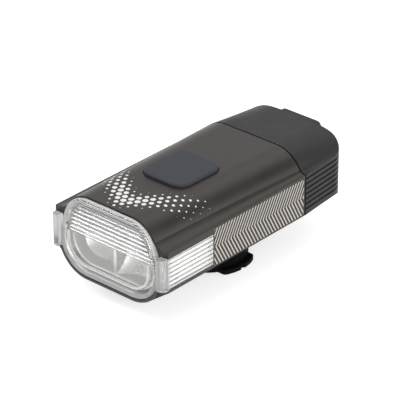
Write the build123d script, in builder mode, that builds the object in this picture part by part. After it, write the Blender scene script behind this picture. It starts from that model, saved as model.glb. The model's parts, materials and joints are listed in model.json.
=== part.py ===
from build123d import *
from dataclasses import dataclass, replace
import os

# Bike headlight in millimetres. The beam leaves along -Y, +Z is up, and the origin is the centre
# of the lower face of the mount boss, so the light rests on the plane Z = 0.

# Overall form
shell_length = 57.8
cap_length = 22.2
front_width = 42.0
seam_width = 40.8
rear_width = 37.4
boss_height = 4.8
hull_height = 7.1
side_height = 12.1
shoulder_height = 6.8
crease_rise = 0.8
overrun = 5.0
touch_gap = 0.05
slide_gap = 0.2

# Cross-section at the front and at the seam
front_flare_width = 4.7
seam_flare_width = 2.4
front_kink_rise = 1.7
seam_kink_rise = 1.3
front_flat_half = 8.0
seam_flat_half = 9.5
front_belly_half = 11.4
seam_belly_half = 11.4
flare_sag = 0.45
belly_radius = 8.8
shell_wall = 1.6
kink_wall_share = 0.95
belly_wall_share = 0.45
crease_wall_share = 0.8
kink_drop_share = 0.55

# Lens and its gasket
lens_proud = 1.6
lens_inset = 0.4
lens_side_inset = 2.9
lens_foot_rise = 1.6
lens_shoulder_drop = 0.3
lens_corner_radius = 9.6
lens_edge_round = 0.9
lens_skirt_inset = 1.4
lens_skirt_depth = 2.4
lens_skirt_wall = 1.2
gasket_thickness = 0.35
gasket_inset = 0.25
flute_count = 7
flute_radius = 0.66
flute_pitch = 1.32
lens_bar_height = 0.5
lens_bar_depth = 1.0
window_pad_depth = 0.5

# Side windows
wing_proud = 2.2
wing_inner_gap = 0.25
wing_length = 18.4
wing_top_drop = 1.75
wing_foot_rise = 0.7
wing_round = 1.8
wing_wall = 1.5
wing_block_depth = 2.8
wing_gap = 0.06
rib_count = 6
rib_depth = 0.5
rib_height = 0.7
rib_pitch = 1.35
rib_front = 5.4
rib_length = 11.8

# Frame round the lens, shared by the shell and the tray, with the chin that stands round the lens's foot
frame_depth = 2.6
chin_wall = 0.95
chin_proud = 1.2
chin_gap = 0.1

# Reflector
cell_top_drop = 5.3
cell_depth = 9.2
cell_side_inset = 2.9
cell_corner_radius = 6.6
divider_width = 1.0
reflector_front = 2.4
reflector_length = 11.5
reflector_wall = 0.8
bowl_focus = 3.1
bowl_vertex = 11.9

# Light emitters, their board and the heat path
led_side = 3.5
led_height = 0.9
led_spacing = 14.8
led_board_thickness = 1.6
led_board_front = 3.4
led_board_length = 10.6
led_board_inset = 1.6
led_tab_width = 10.0
led_tab_length = 2.4
block_half = 9.3
block_round = 1.0
block_post_radius = 2.2
block_post_spacing = 15.6
block_post_reach = 16.4
block_lug_height = 4.0
post_pad_height = 0.8
block_overlap = 2.0
fin_count = 3
fin_pitch = 2.4
fin_slot = 1.2
fin_depth = 3.4
pad_thickness = 0.3
pad_half = 7.0
pad_margin = 1.0
flex_width = 8.0
flex_thickness = 0.2
flex_landing = 2.0

# Power button and its frame
button_width = 16.2
button_length = 18.0
button_radius = 4.0
button_reach = 28.5
button_proud = 1.0
button_top_round = 0.6
button_wall = 1.6
button_roof = 1.4
button_flange = 0.8
button_flange_height = 0.6
button_travel = 0.5
nub_radius = 1.6
seal_thickness = 0.7
seal_width = 1.0

# Circuit board and what it carries
board_thickness = 1.0
board_top_drop = 2.2
board_width = 25.8
board_tail_width = 14.0
board_front = 17.2
board_length = 59.2
board_post_radius = 1.5
board_post_spacing = 22.8
board_post_pitch = 33.4
board_post_reach = 36.0
board_shank_radius = 0.75
board_shank_depth = 1.4
board_corner_radius = 2.0
board_head_radius = 1.4
board_head_height = 0.8
board_screw_length = 2.4
switch_side = 6.0
switch_height = 1.2
plunger_radius = 1.7
plunger_height = 0.75
plunger_fit = 0.05
status_side = 1.6
status_height = 0.7
status_offset = 5.2
chip_side = 4.0
chip_height = 0.9
chip_reach = 45.0
coil_radius = 3.0
coil_waist = 2.0
coil_height = 2.6
coil_rim = 0.5
coil_reach = 46.0
coil_x = 5.0

# Battery
pack_width = 26.0
pack_length = 35.0
pack_height = 12.0
pack_reach = 19.6
pack_floor_rise = 3.2
pack_round = 2.0
tab_width = 4.0
tab_thickness = 0.3
tab_spacing = 12.0
tab_inset = 5.0

# Lower tray
tray_wall = 1.6
cradle_width = 1.5
cradle_half = 7.0
rail_width = 1.5
rail_half = 8.0
lip_height = 1.2
lip_root = 1.5
lip_wall = 1.0
tongue_length = 8.0
tongue_root = 2.6
tongue_width = 15.0
tongue_thickness = 3.0
tray_screw_radius = 1.1
tray_head_radius = 2.0
tray_screw_length = 6.0
cap_screw_spacing = 12.0
cap_screw_reach = 4.6
cap_screw_length = 4.2

# Rear cap and its seal
seal_gap = 0.5
rear_seal_inset = 0.45
rear_seal_width = 1.1
cap_wall = 1.8
cap_corner_radius = 8.0
cap_crown_radius = 6.2
cap_crown_rise = 0.3
cap_drop = 1.2
cap_flare_width = 3.4
cap_kink_rise = 1.0
cap_flat_half = 6.0
cap_belly_half = 11.0
cap_sill_rise = 1.9
cap_heel_length = 12.0
cap_heel_rise = 7.0
cap_heel_radius = 3.0
cap_bow = 1.5
groove_count = 7
groove_pitch = 1.6
groove_height = 0.55
groove_depth = 0.4
groove_start_half = 11.5

# Charging socket and its rubber cover
usb_width = 8.9
usb_height = 3.2
usb_length = 7.3
usb_mouth_depth = 1.5
usb_shell = 0.3
usb_round = 1.4
usb_back = 0.8
usb_blade_height = 0.7
usb_blade_width = 6.7
usb_blade_length = 5.4
port_gap = 0.4
cover_width = 14.8
cover_proud = 0.8
cover_thickness = 1.4
cover_top_drop = 2.1
cover_hinge_drop = 13.0
cover_plug_depth = 0.6
cover_plug_gap = 0.35
cover_gap = 0.15
cover_corner_radius = 1.5
cover_edge_round = 0.4
hinge_gap = 0.4
anchor_height = 2.4
anchor_stud_radius = 0.9
anchor_stud_spacing = 8.0
anchor_stud_depth = 0.9

# Mount boss and bayonet plate
boss_radius = 11.8
boss_chamfer = 0.3
plate_radius = 13.7
plate_width = 12.6
plate_thickness = 1.4
plate_corner = 1.2
notch_radius = 0.9
notch_offset = 0.3
plate_screw_spacing = 6.8
plate_screw_radius = 1.2
plate_head_radius = 2.2
plate_screw_length = 4.6

# Places worked out from the sizes
body_length = shell_length + cap_length
front_y = -(body_length + wing_proud + cover_proud) / 2 + wing_proud
seam_y = front_y + shell_length
rear_y = front_y + body_length
cap_y = seam_y + seal_gap
belly_z = boss_height
sill_z = belly_z + hull_height
crease_z = sill_z + side_height
top_z = crease_z + shoulder_height
ceiling_z = top_z - shell_wall
floor_z = belly_z + tray_wall
cell_z = crease_z - cell_top_drop
board_z = ceiling_z - board_top_drop
under_board_z = board_z - board_thickness
wing_foot_z = sill_z + wing_foot_rise
wing_top_z = crease_z - wing_top_drop
pack_z = belly_z + pack_floor_rise
button_y = front_y + button_reach
lens_back_y = front_y - gasket_thickness
lens_half_width = front_width / 2 - lens_side_inset
wing_inner_half = lens_half_width + wing_inner_gap
cell_half_width = lens_half_width - cell_side_inset
block_y = front_y + block_post_reach
plunger_top_z = board_z + switch_height + plunger_height
lens_foot_z = belly_z + lens_foot_rise
lens_top_z = top_z - lens_inset
reflector_front_y = front_y + reflector_front
reflector_back_y = reflector_front_y + reflector_length
cradle_z = cell_z - cell_depth - reflector_wall - touch_gap
bowl_y = front_y + bowl_vertex
led_y = bowl_y - bowl_focus
led_z = cell_z - led_height
led_board_y = front_y + led_board_front
led_board_end_y = led_board_y + led_board_length
led_board_z = cell_z + led_board_thickness
block_z = ceiling_z - pad_thickness
post_z = floor_z + post_pad_height
board_front_y = front_y + board_front
board_back_y = board_front_y + board_length
status_y = button_y - status_offset
pack_front_y = front_y + pack_reach
pack_back_y = pack_front_y + pack_length
tongue_z = belly_z + cap_wall + touch_gap
seal_z = ceiling_z - touch_gap - seal_thickness
flange_z = seal_z - touch_gap - button_flange_height
button_top_z = top_z + button_proud
port_z = under_board_z - usb_height / 2
usb_mouth_y = rear_y - usb_mouth_depth
cover_y = rear_y + cover_proud - cover_thickness
cover_seat_y = cover_y - cover_gap
cover_top_z = top_z - cover_top_drop
hinge_y = cover_y + cover_thickness / 2
hinge_z = top_z - cover_hinge_drop
anchor_top_z = hinge_z - cover_thickness / 2 - hinge_gap
anchor_z = anchor_top_z - anchor_height


@dataclass
class Screw:
    """Countersunk screw."""

    head_radius: float
    shank_radius: float
    length: float


@dataclass
class Section:
    """Half widths and heights of one cross-section of the body."""

    half_width: float
    kink_half: float
    flat_half: float
    belly_half: float
    crease: float
    kink: float
    top: float
    sill: float
    belly: float

    def inset(self, wall):
        """The section of the cavity inside a wall."""
        return replace(
            self,
            half_width=self.half_width - wall,
            kink_half=self.kink_half - wall * kink_wall_share,
            belly_half=self.belly_half - wall * belly_wall_share,
            crease=self.crease - wall * crease_wall_share,
            kink=self.kink - wall * kink_drop_share,
            top=self.top - wall,
            belly=self.belly + wall,
        )


front_section = Section(
    half_width=front_width / 2,
    kink_half=front_width / 2 - front_flare_width,
    flat_half=front_flat_half,
    belly_half=front_belly_half,
    crease=crease_z,
    kink=crease_z + front_kink_rise,
    top=top_z,
    sill=sill_z,
    belly=belly_z,
)
seam_section = Section(
    half_width=seam_width / 2,
    kink_half=seam_width / 2 - seam_flare_width,
    flat_half=seam_flat_half,
    belly_half=seam_belly_half,
    crease=crease_z + crease_rise,
    kink=crease_z + crease_rise + seam_kink_rise,
    top=top_z,
    sill=sill_z,
    belly=belly_z,
)
cap_section = replace(
    seam_section,
    kink_half=seam_width / 2 - cap_flare_width,
    flat_half=cap_flat_half,
    belly_half=cap_belly_half,
    kink=crease_z + crease_rise + cap_kink_rise,
    top=top_z - cap_drop,
    sill=sill_z + cap_sill_rise,
)


def across(y):
    """Plane across the body at a distance along Y, facing the beam."""
    return Plane.XZ.offset(-y)


def body_outline(section):
    """Closed outline of the whole body at one section."""
    with BuildLine() as outline:
        roof = Line((0, section.top), (section.flat_half, section.top))
        shoulder = TangentArc(roof @ 1, (section.kink_half, section.kink), tangent=roof % 1)
        flare = SagittaArc(shoulder @ 1, (section.half_width, section.crease), -flare_sag)
        side = Line(flare @ 1, (section.half_width, section.sill))
        hull = Line(side @ 1, (section.belly_half, section.belly))
        Line(hull @ 1, (0, section.belly))
        mirror(about=Plane.YZ)
    return outline.edges()


def body_face(section):
    """Face of the whole body at one section, with the belly corners rounded."""
    with BuildSketch() as sketch:
        make_face(body_outline(section))
        corners = sketch.vertices().group_by(Axis.Y)[0].filter_by(lambda v: abs(v.X) > touch_gap)
        fillet(corners, belly_radius)
    return sketch.sketch


def body_loft(wall):
    """Straight loft of the body from its front to the seam, drawn in by a wall."""
    with BuildPart() as form:
        for section, y in ((front_section, front_y), (seam_section, seam_y)):
            with BuildSketch(across(y)):
                add(body_face(section.inset(wall)))
        loft(ruled=True)
    return form.part


def lens_face(inset):
    """Face of the lens outline, drawn in by an inset."""
    with BuildSketch() as sketch:
        with BuildLine():
            roof = Line((0, lens_top_z), (front_flat_half, lens_top_z))
            shoulder_half = front_section.kink_half - lens_inset
            shoulder_point = (shoulder_half, front_section.kink - lens_shoulder_drop)
            shoulder = TangentArc(roof @ 1, shoulder_point, tangent=roof % 1)
            cheek_point = (lens_half_width, lens_foot_z + lens_corner_radius)
            TangentArc(shoulder @ 1, cheek_point, tangent=shoulder % 1)
            foot_point = (lens_half_width - lens_corner_radius, lens_foot_z)
            RadiusArc(cheek_point, foot_point, lens_corner_radius)
            Line(foot_point, (0, lens_foot_z))
            mirror(about=Plane.YZ)
        make_face()
        if inset:
            offset(amount=-inset)
    return sketch.sketch


def cell_face(outset):
    """Face of the lower window, which both reflector cells fill, let out by an outset."""
    with BuildSketch() as sketch:
        with Locations((0, cell_z - cell_depth / 2)):
            Rectangle(2 * cell_half_width, cell_depth)
        fillet(sketch.vertices().group_by(Axis.Y)[0], cell_corner_radius)
        if outset:
            offset(amount=outset)
    return sketch.sketch


def block(x_range, y_range, z_range):
    """Plain block between pairs of places along the three axes."""
    sides = [(first, last) for first, last in (x_range, y_range, z_range)]
    middle = [(first + last) / 2 for first, last in sides]
    return Pos(*middle) * Box(*[last - first for first, last in sides], mode=Mode.PRIVATE)


def wing_face(wall, clearance):
    """Plan of the right side window: a wall along the body with a block at its front."""
    taper = (front_width - seam_width) / 2 / shell_length
    nose_y = front_y - wing_proud
    block_end_y = nose_y + wing_block_depth + clearance
    end_y = front_y + wing_length + clearance
    wall_half = front_width / 2 - wall - clearance
    with BuildSketch() as sketch:
        with BuildLine():
            Polyline(
                (wing_inner_half - clearance, nose_y),
                (front_width / 2 + taper * wing_proud, nose_y),
                (front_width / 2 - taper * wing_length, end_y),
                (wall_half, end_y),
                (wall_half, block_end_y),
                (wing_inner_half - clearance, block_end_y),
                close=True,
            )
        make_face()
    return sketch.sketch


def cap_plan(inset):
    """Plan of the rear cap, which narrows to the rear and has round rear corners."""
    with BuildSketch() as sketch:
        with BuildLine():
            side = Line((seam_width / 2, cap_y), (rear_width / 2, rear_y - cap_bow))
            rear = ThreePointArc(side @ 1, (0, rear_y), (-rear_width / 2, rear_y - cap_bow))
            Polyline(
                rear @ 1,
                (-seam_width / 2, cap_y),
                (-seam_width / 2, cap_y - overrun),
                (seam_width / 2, cap_y - overrun),
                side @ 0,
            )
        make_face()
        fillet(sketch.vertices().sort_by(Axis.Y)[-2:], cap_corner_radius)
        if inset:
            offset(amount=-inset)
    return sketch.sketch


def cap_block(inset):
    """Rear cap's plan as a block, whose top is crowned along the rear and round the corners."""
    with BuildPart() as form:
        with BuildSketch(Plane.XY):
            add(cap_plan(inset))
        extrude(amount=top_z + cap_crown_rise - inset)
        crown = form.faces().sort_by(Axis.Z)[-1].edges().filter_by(lambda edge: (edge @ 0.5).Y > cap_y)
        fillet(crown, cap_crown_radius - inset)
    return form.part


def cap_profile(inset):
    """Side profile of the rear cap, with its raised heel."""
    with BuildSketch() as sketch:
        with BuildLine():
            Polyline(
                (cap_y - overrun, top_z),
                (rear_y, top_z),
                (rear_y, belly_z + cap_heel_rise),
                (rear_y - cap_heel_length, belly_z),
                (cap_y - overrun, belly_z),
                close=True,
            )
        make_face()
        fillet(sketch.vertices().group_by(Axis.X)[-1].sort_by(Axis.Y)[0], cap_heel_radius)
        if inset:
            offset(amount=-inset)
    return sketch.sketch


def cap_form(wall):
    """Rear cap's form, drawn in by a wall: a loft to the rear, cut by the block and the profile."""
    with BuildPart() as form:
        for section, y in ((seam_section, cap_y), (cap_section, rear_y)):
            with BuildSketch(across(y)):
                add(body_face(section.inset(wall)))
        loft(ruled=True)
        add(cap_block(wall), mode=Mode.INTERSECT)
        with BuildSketch(Plane.YZ):
            add(cap_profile(wall))
        extrude(amount=seam_width, both=True, mode=Mode.INTERSECT)
    return form.part


def plate_face(clearance):
    """Outline of the bayonet plate's two round-ended tabs, let out by a clearance."""
    with BuildSketch() as sketch:
        Circle(plate_radius + clearance)
        Rectangle(2 * plate_radius + overrun, plate_width + 2 * clearance, mode=Mode.INTERSECT)
    return sketch.sketch


def screws(kind, places, seat_z, clearance):
    """Countersunk screws driven up from a seat at each place, let out by a clearance."""
    head = kind.head_radius + clearance
    shank = kind.shank_radius + clearance
    with BuildPart() as row:
        with Locations(*[(x, y, seat_z) for x, y in places]):
            Cone(head, shank, head - shank, align=seated)
            Cylinder(shank, kind.length + clearance, align=seated)
    return row.part


def pair(spacing):
    """The two places at each side of the middle."""
    return (-spacing / 2, spacing / 2)


seated = (Align.CENTER, Align.CENTER, Align.MIN)
hung = (Align.CENTER, Align.CENTER, Align.MAX)
body = body_loft(0)
cavity = body_loft(shell_wall)
seam_ring = (seam_section.inset(rear_seal_inset), seam_section.inset(rear_seal_inset + rear_seal_width))
tray_screw = Screw(tray_head_radius, tray_screw_radius, tray_screw_length)
cap_screw = Screw(tray_head_radius, tray_screw_radius, cap_screw_length)
plate_screw = Screw(plate_head_radius, plate_screw_radius, plate_screw_length)
board_post_y = front_y + board_post_reach
board_posts = [(x, board_post_y + y) for x in pair(board_post_spacing) for y in pair(board_post_pitch)]
tray_screw_places = [(x, block_y) for x in pair(block_post_spacing)]
cap_screw_places = [(x, seam_y + cap_screw_reach) for x in pair(cap_screw_spacing)]
plate_screw_places = [(0, y) for y in pair(plate_screw_spacing)]

# Front frame, whose upper part is in the shell and whose lower part is in the tray
with BuildPart() as front_frame:
    add(body)
    split(bisect_by=across(front_y + frame_depth), keep=Keep.TOP)
    with BuildSketch(across(front_y)):
        add(lens_face(lens_skirt_inset - touch_gap))
    extrude(amount=-frame_depth, mode=Mode.SUBTRACT)

# Chin: a wall that stands out round the foot of the lens
with BuildPart() as chin:
    with BuildSketch(across(front_y)):
        add(lens_face(-chin_wall))
        add(lens_face(-chin_gap), mode=Mode.SUBTRACT)
    extrude(amount=chin_proud)
    split(bisect_by=Plane.XY.offset(sill_z), keep=Keep.BOTTOM)

# Windows' pocket on both sides, open to the front
with BuildPart() as wing_pocket:
    with BuildSketch(Plane.XY.offset(sill_z)):
        add(wing_face(wing_wall + rib_depth, wing_gap))
    extrude(amount=wing_top_z - sill_z + wing_gap)
    mirror(about=Plane.YZ)

# Upper shell: machined from one piece, with the front frame, the windows' pockets, the button's
# opening and the four posts that carry the circuit board
with BuildPart() as top_shell:
    add(body)
    add(cavity, mode=Mode.SUBTRACT)
    add(front_frame.part)
    split(bisect_by=Plane.XY.offset(sill_z), keep=Keep.TOP)
    add(wing_pocket.part, mode=Mode.SUBTRACT)
    with BuildSketch(Plane.XY.offset(ceiling_z - overrun)):
        with Locations((0, button_y)):
            RectangleRounded(
                button_width + 2 * slide_gap, button_length + 2 * slide_gap, button_radius + slide_gap
            )
    extrude(amount=2 * overrun, mode=Mode.SUBTRACT)
    with Locations(*[(x, y, board_z) for x, y in board_posts]):
        Cylinder(board_post_radius, ceiling_z - board_z, align=seated)
        Cylinder(board_shank_radius + touch_gap, board_shank_depth, align=seated, mode=Mode.SUBTRACT)
top_shell.part.label = "top_shell"

# Lip that locates the tray in the shell behind the windows, with its root on the tray's wall
lip_span = (front_y + wing_length + lip_root, seam_y)
with BuildPart() as tray_lip_top:
    add(body_loft(shell_wall + touch_gap))
    add(block(pair(seam_width), lip_span, (sill_z, sill_z + lip_height)), mode=Mode.INTERSECT)
with BuildPart() as tray_lip:
    add(cavity)
    add(block(pair(seam_width), lip_span, (sill_z - lip_root, sill_z)), mode=Mode.INTERSECT)
    add(tray_lip_top.part)
    add(body_loft(shell_wall + lip_wall), mode=Mode.SUBTRACT)

# Lower tray: chin frame, hull, mount boss and the ribs that carry what is inside
with BuildPart() as lower_tray:
    add(body)
    add(cavity, mode=Mode.SUBTRACT)
    add(front_frame.part)
    split(bisect_by=Plane.XY.offset(sill_z), keep=Keep.BOTTOM)
    with BuildSketch(Plane.XY.offset(sill_z - touch_gap)):
        add(wing_face(wing_wall, 0))
        mirror(about=Plane.YZ)
    extrude(amount=wing_foot_rise + touch_gap)
    add(block(pair(2 * front_width), (front_y - overrun, front_y), (0, top_z)), mode=Mode.SUBTRACT)
    add(chin.part)
    add(tray_lip.part)
    with Locations(*[(x, y, post_z) for x, y in tray_screw_places]):
        Cylinder(block_post_radius, post_z - floor_z + tray_wall / 2, align=hung)
    for side in (-1, 1):
        cradle = sorted((side * cradle_half, side * (cradle_half - cradle_width)))
        add(block(cradle, (reflector_front_y, reflector_back_y), (floor_z, cradle_z)))
        rail = sorted((side * rail_half, side * (rail_half - rail_width)))
        add(block(rail, (pack_front_y, pack_back_y), (floor_z, pack_z)))
    tongue_root_y = seam_y - tongue_root
    tongue_top_z = tongue_z + tongue_thickness
    add(block(pair(tongue_width), (tongue_root_y, seam_y + tongue_length), (tongue_z, tongue_top_z)))
    add(block(pair(tongue_width), (tongue_root_y, seam_y), (floor_z, tongue_z)))
    Cylinder(boss_radius, floor_z, align=seated)
    chamfer(lower_tray.faces().sort_by(Axis.Z)[0].edges(), boss_chamfer)
    with BuildSketch(Plane.XY):
        add(plate_face(touch_gap))
    extrude(amount=plate_thickness, mode=Mode.SUBTRACT)
    add(screws(tray_screw, tray_screw_places, belly_z, touch_gap), mode=Mode.SUBTRACT)
    add(screws(cap_screw, cap_screw_places, belly_z, touch_gap), mode=Mode.SUBTRACT)
    add(screws(plate_screw, plate_screw_places, 0, touch_gap), mode=Mode.SUBTRACT)
lower_tray.part.label = "lower_tray"

# Grooves that wrap the sides and the rear corners of the cap
with BuildPart() as cap_grooves:
    for index in range(groove_count):
        with BuildSketch(Plane.XY.offset(crease_z + crease_rise - (index + 1) * groove_pitch)):
            add(cap_plan(-groove_depth))
            add(cap_plan(groove_depth), mode=Mode.SUBTRACT)
            Rectangle(2 * groove_start_half, 2 * body_length, mode=Mode.SUBTRACT)
        extrude(amount=groove_height)

# Rear cap: hollow moulding with grooved sides, a port in its rear wall and a seat for the cover
with BuildPart() as rear_cap:
    add(cap_form(0))
    add(cap_form(cap_wall), mode=Mode.SUBTRACT)
    add(cap_grooves.part, mode=Mode.SUBTRACT)
    with BuildSketch(across(cover_seat_y)):
        with Locations((0, (cover_top_z + anchor_z) / 2)):
            Rectangle(cover_width + 2 * slide_gap, cover_top_z - anchor_z + 2 * slide_gap)
    extrude(amount=-overrun, mode=Mode.SUBTRACT)
    with BuildSketch(across(rear_y)):
        with Locations((0, port_z)):
            RectangleRounded(usb_width + 2 * port_gap, usb_height + 2 * port_gap, usb_round + port_gap)
    extrude(amount=cap_wall + cap_bow, mode=Mode.SUBTRACT)
    with BuildSketch(across(cover_seat_y)):
        with Locations(*[(x, anchor_z + anchor_height / 2) for x in pair(anchor_stud_spacing)]):
            Circle(anchor_stud_radius + touch_gap)
    extrude(amount=anchor_stud_depth + touch_gap, mode=Mode.SUBTRACT)
    add(screws(cap_screw, cap_screw_places, belly_z, touch_gap), mode=Mode.SUBTRACT)
rear_cap.part.label = "rear_cap"

# Seal between the body and the rear cap
with BuildPart() as rear_seal:
    with BuildSketch(across(seam_y)):
        add(body_face(seam_ring[0]))
        add(body_face(seam_ring[1]), mode=Mode.SUBTRACT)
    extrude(amount=-seal_gap)
rear_seal.part.label = "rear_seal"

# Front lens: one clear moulding with flutes inside its upper half and a pad inside its lower half
with BuildPart() as flutes:
    for index in range(flute_count):
        flute_z = cell_z + lens_bar_height + flute_radius + index * flute_pitch
        with BuildSketch(Plane.YZ.offset(-lens_half_width)):
            with Locations((lens_back_y, flute_z)):
                Circle(flute_radius)
        extrude(amount=2 * lens_half_width)
    with BuildSketch(across(lens_back_y + flute_radius)):
        add(lens_face(lens_skirt_inset))
    extrude(amount=2 * flute_radius, mode=Mode.INTERSECT)
with BuildPart() as front_lens:
    with BuildSketch(across(lens_back_y)):
        add(lens_face(0))
    extrude(amount=lens_proud - gasket_thickness)
    fillet(front_lens.faces().sort_by(Axis.Y)[0].edges(), lens_edge_round)
    with BuildSketch(across(lens_back_y)):
        add(lens_face(lens_skirt_inset))
        add(lens_face(lens_skirt_inset + lens_skirt_wall), mode=Mode.SUBTRACT)
    extrude(amount=-lens_skirt_depth)
    add(flutes.part)
    bar_half = lens_half_width - lens_skirt_inset - lens_skirt_wall / 2
    bar_back_y = lens_back_y + lens_bar_depth
    add(block((-bar_half, bar_half), (lens_back_y, bar_back_y), (cell_z, cell_z + lens_bar_height)))
    with BuildSketch(across(lens_back_y)):
        add(cell_face(0))
    extrude(amount=-window_pad_depth)
front_lens.part.label = "front_lens"

# Gasket under the lens's rim
with BuildPart() as lens_gasket:
    with BuildSketch(across(front_y)):
        add(lens_face(gasket_inset))
        add(lens_face(lens_skirt_inset - touch_gap), mode=Mode.SUBTRACT)
    extrude(amount=gasket_thickness)
lens_gasket.part.label = "lens_gasket"

# Side windows: clear mouldings with a round front corner and ribs on their inner face
with BuildPart() as side_window_right:
    with BuildSketch(Plane.XY.offset(wing_foot_z)):
        add(wing_face(wing_wall, 0))
    extrude(amount=wing_top_z - wing_foot_z)
    nose = side_window_right.edges().filter_by(Axis.Z).group_by(Axis.Y)[0].sort_by(Axis.X)
    fillet(nose[-1], wing_round)
    rib_x = front_width / 2 - wing_wall - rib_depth
    rib_y = front_y + rib_front
    for index in range(rib_count):
        rib_z = (wing_foot_z + wing_top_z) / 2 + (index - (rib_count - 1) / 2) * rib_pitch
        rib_zs = (rib_z - rib_height / 2, rib_z + rib_height / 2)
        add(block((rib_x, rib_x + rib_depth + touch_gap), (rib_y, rib_y + rib_length), rib_zs))
side_window_right.part.label = "side_window_right"
with BuildPart() as side_window_left:
    mirror(side_window_right.part, about=Plane.YZ)
side_window_left.part.label = "side_window_left"

# Reflector: two cells side by side, each a paraboloid about a beam axis through its emitter
with BuildPart() as bowls:
    for x in pair(led_spacing):
        mouth_depth = bowl_y - reflector_front_y + overrun
        mouth_radius = 2 * (bowl_focus * mouth_depth) ** 0.5
        with BuildSketch(Plane.XY.offset(led_z)):
            with BuildLine():
                mouth = (x + mouth_radius, bowl_y - mouth_depth)
                Bezier((x, bowl_y), (x + mouth_radius / 2, bowl_y), mouth)
                Polyline(mouth, (x, bowl_y - mouth_depth), (x, bowl_y))
            make_face()
        revolve(axis=Axis((x, 0, led_z), (0, 1, 0)))
    with BuildSketch(across(reflector_back_y)):
        add(cell_face(0))
        with Locations((0, cell_z)):
            Rectangle(divider_width, 2 * cell_depth, mode=Mode.SUBTRACT)
    extrude(amount=reflector_length + overrun, mode=Mode.INTERSECT)
with BuildPart() as reflector:
    with BuildSketch(across(reflector_back_y)):
        add(cell_face(reflector_wall))
        with Locations((0, cell_z)):
            Rectangle(
                front_width, 2 * reflector_wall, align=(Align.CENTER, Align.MIN), mode=Mode.SUBTRACT
            )
    extrude(amount=reflector_length)
    add(bowls.part, mode=Mode.SUBTRACT)
reflector.part.label = "reflector"

# Light emitters under their board, looking down into the bowls
leds = []
for name, x in zip(("led_left", "led_right"), pair(led_spacing)):
    with BuildPart() as led:
        with Locations((x, led_y, cell_z)):
            Box(led_side, led_side, led_height, align=hung)
    led.part.label = name
    leds.append(led.part)

# Metal-core board of the emitters, with a tab for the flexible lead
with BuildPart() as led_board:
    board_zs = (cell_z, led_board_z)
    led_board_half = cell_half_width - led_board_inset
    add(block((-led_board_half, led_board_half), (led_board_y, led_board_end_y), board_zs))
    add(block(pair(led_tab_width), (led_board_end_y, led_board_end_y + led_tab_length), board_zs))
led_board.part.label = "led_board"

# Heat block: finned at the front, with two posts that take the tray's screws
with BuildPart() as heat_block:
    add(block(pair(2 * block_half), (led_board_y, led_board_end_y), (led_board_z, block_z)))
    fillet(heat_block.edges().filter_by(Axis.Z), block_round)
    for index in range(fin_count):
        slot_z = (led_board_z + block_z) / 2 + (index - (fin_count - 1) / 2) * fin_pitch
        slot_zs = (slot_z - fin_slot / 2, slot_z + fin_slot / 2)
        slot_span = (led_board_y - overrun, led_board_y + fin_depth)
        add(block(pair(3 * block_half), slot_span, slot_zs), mode=Mode.SUBTRACT)
    lug_z = led_board_z + block_lug_height
    for x, y in tray_screw_places:
        lug_xs = (x - block_post_radius, x + block_post_radius)
        add(block(lug_xs, (led_board_end_y - block_overlap, y), (led_board_z, lug_z)))
        with Locations((x, y, post_z)):
            Cylinder(block_post_radius, lug_z - post_z, align=seated)
    add(screws(tray_screw, tray_screw_places, belly_z, touch_gap), mode=Mode.SUBTRACT)
heat_block.part.label = "heat_block"

# Thermal pad between the block and the shell's ceiling
with BuildPart() as thermal_pad:
    pad_span = (led_board_y + pad_margin, led_board_end_y - pad_margin)
    add(block(pair(2 * pad_half), pad_span, (block_z, ceiling_z)))
thermal_pad.part.label = "thermal_pad"

# Flexible lead from the emitters' board up to the main board
with BuildPart() as led_flex:
    flex_y = led_board_end_y + led_tab_length
    flex_xs = pair(flex_width)
    flex_zs = (led_board_z, led_board_z + flex_thickness)
    add(block(flex_xs, (led_board_end_y + flex_thickness, flex_y), flex_zs))
    add(block(flex_xs, (flex_y, flex_y + flex_thickness), (led_board_z, under_board_z)))
    landing_zs = (under_board_z - flex_thickness, under_board_z)
    add(block(flex_xs, (flex_y, board_front_y + flex_landing), landing_zs))
led_flex.part.label = "led_flex"

# Main board, hung from the shell's posts
with BuildPart() as main_board:
    add(block(pair(board_width), (board_front_y, seam_y), (under_board_z, board_z)))
    add(block(pair(board_tail_width), (seam_y, board_back_y), (under_board_z, board_z)))
    fillet(main_board.edges().filter_by(Axis.Z), board_corner_radius)
    with Locations(*[(x, y, under_board_z) for x, y in board_posts]):
        Cylinder(board_shank_radius + touch_gap, board_thickness, align=seated, mode=Mode.SUBTRACT)
main_board.part.label = "main_board"
with BuildPart() as board_screws:
    with Locations(*[(x, y, under_board_z) for x, y in board_posts]):
        Cylinder(board_head_radius, board_head_height, align=hung)
        Cylinder(board_shank_radius, board_screw_length, align=seated)
board_screws.part.label = "board_screws"

# Switch on the board, and its plunger, which moves with the button
with BuildPart() as tact_switch:
    with Locations((0, button_y, board_z)):
        Box(switch_side, switch_side, switch_height, align=seated)
        Cylinder(plunger_radius + plunger_fit, switch_height, align=seated, mode=Mode.SUBTRACT)
tact_switch.part.label = "tact_switch"
with BuildPart() as switch_plunger:
    with Locations((0, button_y, plunger_top_z)):
        Cylinder(plunger_radius, plunger_height + button_travel + touch_gap, align=hung)
switch_plunger.part.label = "switch_plunger"

# Status light beside the switch
with BuildPart() as status_led:
    with Locations((0, status_y, board_z)):
        Box(status_side, status_side, status_height, align=seated)
status_led.part.label = "status_led"

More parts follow.
